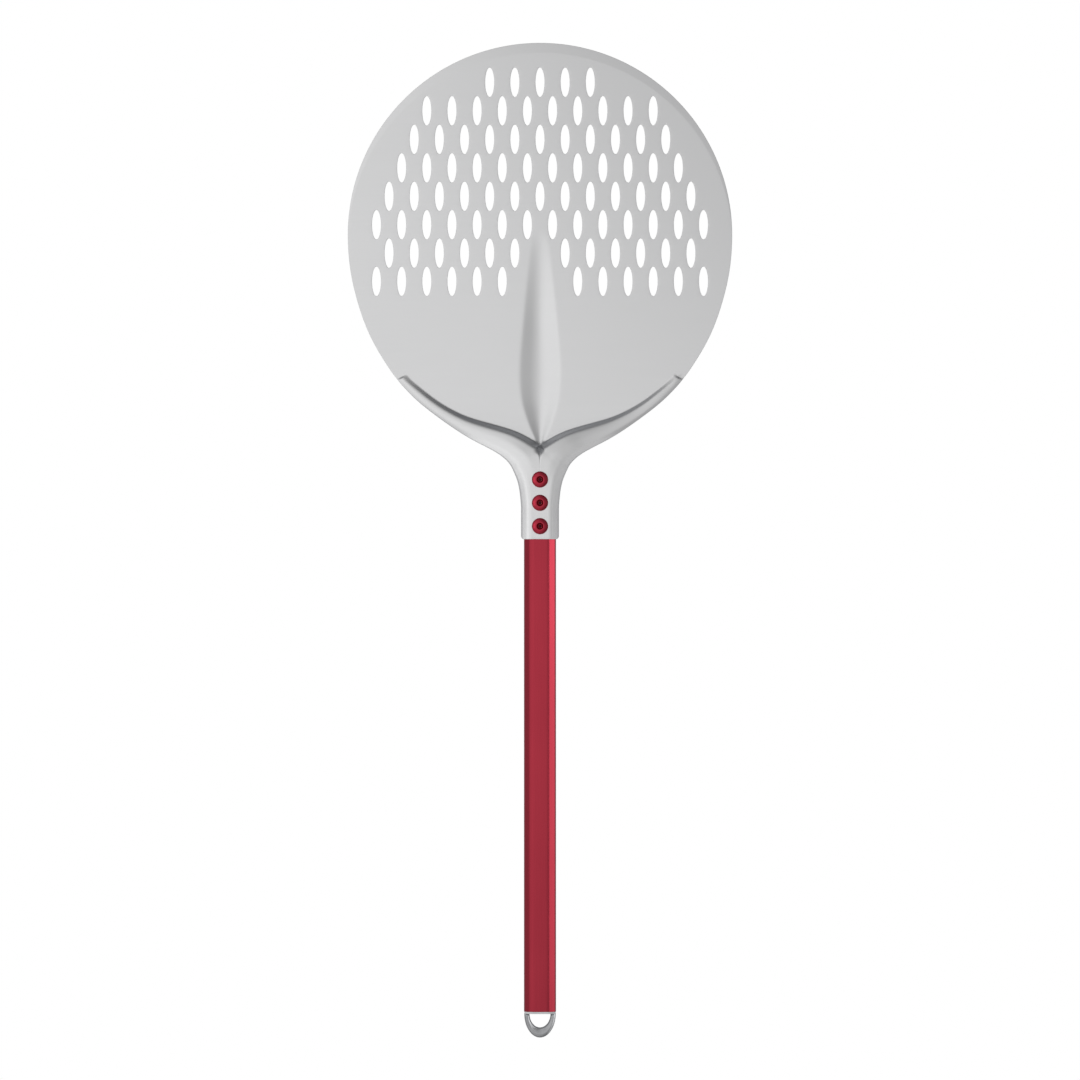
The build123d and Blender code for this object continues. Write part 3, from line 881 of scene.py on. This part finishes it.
def head_material():
    m = Nodes("satin_aluminium")
    grain = m.noise(60.0, 4.0, 0.6, (0.35, 26.0, 1.0))      # fine lines across the blade
    fine = m.noise(260.0, 3.0, 0.5, (0.25, 12.0, 1.0))
    cloud = m.noise(5.5, 3.0, 0.5)
    grit = m.noise(1500.0, 2.0, 0.5)
    tone = m.math("ADD", m.ramp(cloud, 0.35, 0.65, -0.012, 0.012), m.ramp(grain, 0.3, 0.7, -0.014, 0.014))
    tone = m.math("ADD", tone, 0.5)
    col = m.mixc(tone, (0.66, 0.662, 0.672), (0.90, 0.90, 0.895))
    # painted shade: the crease weight darkens the base colour towards dark grey in the inner corner
    crease_shade_fac = m.new("ShaderNodeAttribute", attribute_name="crease_painted_shade").outputs["Fac"]
    col = m.mixc(m.math("MULTIPLY", crease_shade_fac, 0.80), col, (0.325, 0.335, 0.36))
    r = m.math("ADD", m.ramp(grain, 0.3, 0.7, 0.36, 0.43), m.ramp(cloud, 0.3, 0.7, -0.02, 0.02))
    n = m.bump(grain, 0.10, 0.00004)
    n = m.bump(fine, 0.07, 0.00003, n)
    n = m.bump(grit, 0.05, 0.00002, n)
    m.set(Base_Color=col, Metallic=1.0, Roughness=r, Normal=n)
    return m.mat


def red_material(name, dark, light, rough, lines=True):
    m = Nodes(name)
    cloud = m.noise(9.0, 3.0, 0.5)
    grain = m.noise(220.0, 3.0, 0.55, (9.0, 0.12, 9.0)) if lines else m.noise(420.0, 3.0, 0.5)
    grit = m.noise(2600.0, 2.0, 0.5)
    fac = m.math("ADD", m.ramp(cloud, 0.3, 0.7, 0.35, 0.65), m.ramp(grain, 0.3, 0.7, -0.18, 0.18))
    col = m.mixc(fac, dark, light)
    r = m.math("ADD", m.ramp(grain, 0.3, 0.7, rough - 0.03, rough + 0.04), m.ramp(grit, 0.3, 0.7, -0.03, 0.03))
    n = m.bump(grain, 0.06, 0.00003)
    n = m.bump(grit, 0.05, 0.00001, n)
    m.set(Base_Color=col, Metallic=1.0, Roughness=r, Normal=n)
    m.bsdf.inputs["Coat Weight"].default_value = 0.12
    m.bsdf.inputs["Coat Roughness"].default_value = 0.30
    m.bsdf.inputs["Coat IOR"].default_value = 1.6
    return m.mat


def steel_material(name, dark, light, rough, scale=60.0, relief=1.0):
    m = Nodes(name)
    cloud = m.noise(scale, 4.0, 0.6)
    grit = m.noise(1400.0, 3.0, 0.6)
    col = m.mixc(m.ramp(cloud, 0.3, 0.7, 0.0, 1.0), dark, light)
    r = m.math("ADD", m.ramp(cloud, 0.3, 0.7, rough - 0.06, rough + 0.06), m.ramp(grit, 0.3, 0.7, -0.04, 0.04))
    n = m.bump(cloud, 0.12 * relief, 0.00008)
    n = m.bump(grit, 0.10 * relief, 0.00002, n)
    m.set(Base_Color=col, Metallic=1.0, Roughness=r, Normal=n)
    return m.mat


def plastic_material():
    m = Nodes("moulded_light_grey")
    cloud = m.noise(40.0, 3.0, 0.5)
    grit = m.noise(1900.0, 3.0, 0.6)
    col = m.mixc(m.ramp(cloud, 0.3, 0.7, 0.0, 1.0), (0.80, 0.82, 0.83), (0.88, 0.89, 0.90))
    n = m.bump(grit, 0.14, 0.00003)
    m.set(Base_Color=col, Metallic=0.0, Roughness=m.ramp(grit, 0.3, 0.7, 0.42, 0.54), Normal=n)
    m.bsdf.inputs["IOR"].default_value = 1.49
    return m.mat


mats = {
    "head": head_material(),
    "handle": red_material("red_anodised_tube", (0.36, 0.026, 0.046), (0.47, 0.037, 0.061), 0.27),
    "rivet": red_material("red_anodised_rivet", (0.345, 0.022, 0.041), (0.455, 0.033, 0.057), 0.20, False),
    # painted shade: the steel mandrel gets a near-black red colour for the shade inside the rivet's crater
    "pin": steel_material("snapped_steel_painted_shade", (0.032, 0.009, 0.011), (0.065, 0.021, 0.024), 0.5, 900.0, 0.15),
    "plug": plastic_material(),
    "loop": steel_material("satin_steel", (0.375, 0.38, 0.39), (0.485, 0.49, 0.50), 0.24, 120.0),
}


def finish_piece(obj, mat, slot, *nodes):
    obj.data.materials.clear()
    obj.data.materials.append(mats[mat])
    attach(obj, "root")
    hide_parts(*nodes)


finish_piece(head, "head", "head_aluminium", "peel_head")
finish_piece(tube, "handle", "handle_red", "handle_tube")
finish_piece(plug, "plug", "plug_plastic", "end_plug")
finish_piece(loop, "loop", "loop_steel", "hanging_loop")
for body, pin, where in rivets:
    finish_piece(body, "rivet", "rivet_red", "rivet_" + where)
    finish_piece(pin, "pin", "mandrel_steel", "rivet_mandrel_" + where)

# ---------------------------------------------------------------------------
# studio: pale floor, soft lights, and the camera straight above
# ---------------------------------------------------------------------------
scene = bpy.context.scene
scene.view_settings.view_transform = "Standard"
scene.view_settings.look = "None"
scene.view_settings.exposure = 0.0
scene.view_settings.gamma = 1.0

fm = bpy.data.meshes.new("floor")
S = 14.0
fm.from_pydata([(-S, -S, -0.0004), (S, -S, -0.0004), (S, S, -0.0004), (-S, S, -0.0004)], [], [(0, 1, 2, 3)])
floor = bpy.data.objects.new("floor", fm)
scene.collection.objects.link(floor)
fmat = bpy.data.materials.new("floor_white")
fmat.use_nodes = True
t = fmat.node_tree
t.nodes.clear()
out = t.nodes.new("ShaderNodeOutputMaterial")
diff = t.nodes.new("ShaderNodeBsdfDiffuse")
diff.inputs["Color"].default_value = (0.55, 0.55, 0.56, 1)
emi = t.nodes.new("ShaderNodeEmission")
emi.inputs["Color"].default_value = (1, 1, 1, 1)
emi.inputs["Strength"].default_value = 1.0
lp = t.nodes.new("ShaderNodeLightPath")
geo = t.nodes.new("ShaderNodeNewGeometry")
tr = t.nodes.new("ShaderNodeBsdfTransparent")
m1 = t.nodes.new("ShaderNodeMixShader")
m2 = t.nodes.new("ShaderNodeMixShader")
t.links.new(lp.outputs["Is Camera Ray"], m1.inputs[0])
glow = t.nodes.new("ShaderNodeEmission")         # soft fill from below
glow.inputs["Color"].default_value = (1, 1, 1, 1)
glow.inputs["Strength"].default_value = 0.10
fill = t.nodes.new("ShaderNodeAddShader")
t.links.new(diff.outputs[0], fill.inputs[0])
t.links.new(glow.outputs[0], fill.inputs[1])
t.links.new(fill.outputs[0], m1.inputs[1])
t.links.new(emi.outputs[0], m1.inputs[2])
t.links.new(geo.outputs["Backfacing"], m2.inputs[0])
t.links.new(m1.outputs[0], m2.inputs[1])
t.links.new(tr.outputs[0], m2.inputs[2])
t.links.new(m2.outputs[0], out.inputs[0])
fm.materials.append(fmat)

# world: soft studio surround, lighter to the left, darker to the right and ahead
world = bpy.data.worlds.new("studio")
scene.world = world
world.use_nodes = True
w = world.node_tree
w.nodes.clear()
wo = w.nodes.new("ShaderNodeOutputWorld")
bg = w.nodes.new("ShaderNodeBackground")
bgc = w.nodes.new("ShaderNodeBackground")
bgc.inputs["Color"].default_value = (1, 1, 1, 1)
wlp = w.nodes.new("ShaderNodeLightPath")
wm = w.nodes.new("ShaderNodeMixShader")
tc = w.nodes.new("ShaderNodeTexCoord")
sp = w.nodes.new("ShaderNodeSeparateXYZ")
w.links.new(tc.outputs["Generated"], sp.inputs[0])


def wmath(op, a, b, clamp=False):
    n = w.nodes.new("ShaderNodeMath")
    n.operation = op
    n.use_clamp = clamp
    for i, v in enumerate((a, b)):
        if isinstance(v, (int, float)):
            n.inputs[i].default_value = v
        else:
            w.links.new(v, n.inputs[i])
    return n.outputs[0]


def wrange(v, a, b, c, d, kind="SMOOTHSTEP"):
    n = w.nodes.new("ShaderNodeMapRange")
    n.interpolation_type = kind
    for k, x in zip(("From Min", "From Max", "To Min", "To Max"), (a, b, c, d)):
        n.inputs[k].default_value = x
    w.links.new(v, n.inputs["Value"])
    return n.outputs["Result"]


X, Y, Z = sp.outputs[0], sp.outputs[1], sp.outputs[2]
e = wrange(X, -0.6, 0.6, 0.86, 0.42)            # falls away to the right
f = wrange(Y, 0.12, 0.60, 1.0, 0.64)            # and towards the front
g = wrange(Z, -0.30, 0.10, 0.75, 1.0)
val = wmath("MULTIPLY", wmath("MULTIPLY", e, f), g)
comb = w.nodes.new("ShaderNodeCombineColor")
for i, k in enumerate((1.0, 1.0, 1.008)):
    w.links.new(wmath("MULTIPLY", val, k), comb.inputs[i])
w.links.new(comb.outputs[0], bg.inputs["Color"])
bg.inputs["Strength"].default_value = 0.585
w.links.new(wlp.outputs["Is Camera Ray"], wm.inputs[0])
w.links.new(bg.outputs[0], wm.inputs[1])
w.links.new(bgc.outputs[0], wm.inputs[2])
w.links.new(wm.outputs[0], wo.inputs[0])


def area(name, loc, target, size, radiance, size_y=None, color=(1, 1, 1)):
    """Rectangular soft light, seen only by the object. radiance is its brightness."""
    d = bpy.data.lights.new(name, "AREA")
    d.shape = "RECTANGLE"
    d.size = size
    d.size_y = size_y or size
    d.energy = radiance * math.pi * d.size * d.size_y
    d.color = color
    o = bpy.data.objects.new(name, d)
    scene.collection.objects.link(o)
    o.location = loc
    if target is not None:
        o.rotation_euler = (Vector(target) - Vector(loc)).to_track_quat("-Z", "Y").to_euler()
    o.visible_camera = False
    return o


# overhead softbox whose brightness falls towards the front right
SB_H, SB = 0.65, 3.0
box_light = area("ceiling_softbox", (0.0, 0.1, SB_H), None, SB, 0.585)
ld = box_light.data
ld.use_nodes = True
lt = ld.node_tree
lt.nodes.clear()
lo_ = lt.nodes.new("ShaderNodeOutputLight")
le = lt.nodes.new("ShaderNodeEmission")
lt.links.new(le.outputs[0], lo_.inputs[0])
lg = lt.nodes.new("ShaderNodeNewGeometry")
ls = lt.nodes.new("ShaderNodeSeparateXYZ")
lt.links.new(lg.outputs["Parametric"], ls.inputs[0])


def lmath(op, a, b=0.0):
    n = lt.nodes.new("ShaderNodeMath")
    n.operation = op
    for i, v in enumerate((a, b)):
        if isinstance(v, (int, float)):
            n.inputs[i].default_value = v
        else:
            lt.links.new(v, n.inputs[i])
    return n.outputs[0]


lx = lmath("MULTIPLY", lmath("SUBTRACT", ls.outputs[0], 0.5), SB)
ly = lmath("ADD", lmath("MULTIPLY", lmath("SUBTRACT", ls.outputs[1], 0.5), SB), 0.1)
tt = lmath("ADD", lx, lmath("MULTIPLY", lmath("SUBTRACT", lmath("MINIMUM", lmath("MAXIMUM", ly, 0.02), 0.46), 0.15), 0.9))
rr = lt.nodes.new("ShaderNodeFloatCurve")
lt.links.new(lmath("ADD", lmath("MULTIPLY", tt, 0.5), 0.5), rr.inputs["Value"])
crv = rr.mapping.curves[0]
for i, (t_, v_) in enumerate(((-1.0, 0.66), (-0.7, 0.70), (-0.48, 0.77), (-0.28, 0.89), (-0.1, 0.88), (0.1, 0.78), (0.33, 0.48), (0.6, 0.36), (1.0, 0.34))):
    q_ = (t_ * 0.5 + 0.5, v_)
    if i < 2:
        crv.points[i].location = q_
    else:
        crv.points.new(*q_)
rr.mapping.update()
dome = lmath("SUBTRACT", 1.0, lmath("MULTIPLY", lmath("POWER", lmath("MINIMUM", lmath("SUBTRACT", ly, 0.0), 0.0), 2.0), 1.9))
dome = lmath("MAXIMUM", dome, 0.45)
front = lt.nodes.new("ShaderNodeMapRange")
front.interpolation_type = "SMOOTHSTEP"
for k_, v_ in (("From Min", 0.66), ("From Max", 1.05), ("To Min", 1.0), ("To Max", 0.70)):
    front.inputs[k_].default_value = v_
lt.links.new(ly, front.inputs["Value"])
lt.links.new(lmath("MULTIPLY", lmath("MULTIPLY", rr.outputs[0], dome), front.outputs[0]), le.inputs["Strength"])

# low cards: a long one at the right of the handle, brightest beside the neck,
# and two at the left of the head
def only(light, *objs):
    """The light reaches these pieces alone."""
    coll = bpy.data.collections.new(light.name + "_receivers")
    for o in objs:
        coll.objects.link(o)
    light.light_linking.receiver_collection = coll


CARD_Y0, CARD_Y1 = -0.50, 0.04
card = area("card_right", (0.066, (CARD_Y0 + CARD_Y1) / 2, 0.038), (0.0, (CARD_Y0 + CARD_Y1) / 2, 0.038), CARD_Y1 - CARD_Y0, 1.0, 0.076)
card.data.use_nodes = True
ct = card.data.node_tree
ct.nodes.clear()
co = ct.nodes.new("ShaderNodeOutputLight")
ce = ct.nodes.new("ShaderNodeEmission")
cg = ct.nodes.new("ShaderNodeNewGeometry")
cs = ct.nodes.new("ShaderNodeSeparateXYZ")
cc = ct.nodes.new("ShaderNodeFloatCurve")
ct.links.new(cg.outputs["Parametric"], cs.inputs[0])
ct.links.new(cs.outputs[0], cc.inputs["Value"])
c_crv = cc.mapping.curves[0]
for i, (q_, v_) in enumerate(((0.0, 0.30), (0.18, 0.42), (0.30, 0.55), (0.62, 0.64), (0.84, 0.84), (1.0, 0.95))):
    if i < 2:
        c_crv.points[i].location = (q_, v_)
    else:
        c_crv.points.new(q_, v_)
cc.mapping.update()
cm = ct.nodes.new("ShaderNodeMath")
cm.operation = "MULTIPLY"
cm.inputs[1].default_value = 1.75
ct.links.new(cc.outputs[0], cm.inputs[0])
ct.links.new(cm.outputs[0], ce.inputs["Strength"])
ct.links.new(ce.outputs[0], co.inputs[0])
only(card, tube, loop)

only(area("card_neck_left", (-0.08, 0.0, 0.05), (0.0, 0.0, 0.05), 0.13, 0.26, 0.09), head)
only(area("card_neck_right", (0.08, 0.0, 0.05), (0.0, 0.0, 0.05), 0.13, 0.20, 0.08), head)
only(area("card_front_left", (-0.16, -0.06, 0.06), (-0.03, 0.07, 0.03), 0.24, 0.17, 0.12), head)
only(area("card_front_right", (0.16, -0.06, 0.06), (0.03, 0.07, 0.03), 0.24, 0.15, 0.12), head)
only(area("card_loop", (0.22, -0.41, 0.22), (0.0, -0.41, 0.012), 0.20, 0.90), loop)
only(area("card_rivets", (-0.28, 0.03, 0.26), (0.0, 0.03, 0.02), 0.26, 0.45, 0.20), *[b_ for b_, p_, w_ in rivets])

cam_d = bpy.data.cameras.new("camera")
cam = bpy.data.objects.new("camera", cam_d)
scene.collection.objects.link(cam)
cam_d.sensor_width = 36.0
H = 8.0
cam_d.lens = 18.0 / ((0.8537 / 0.92 / 2) / H)
cam_d.clip_start, cam_d.clip_end = 0.05, 100.0
cam.location = (0.0, 0.0, H)
cam.rotation_euler = (0.0, 0.0, 0.0)
scene.camera = cam
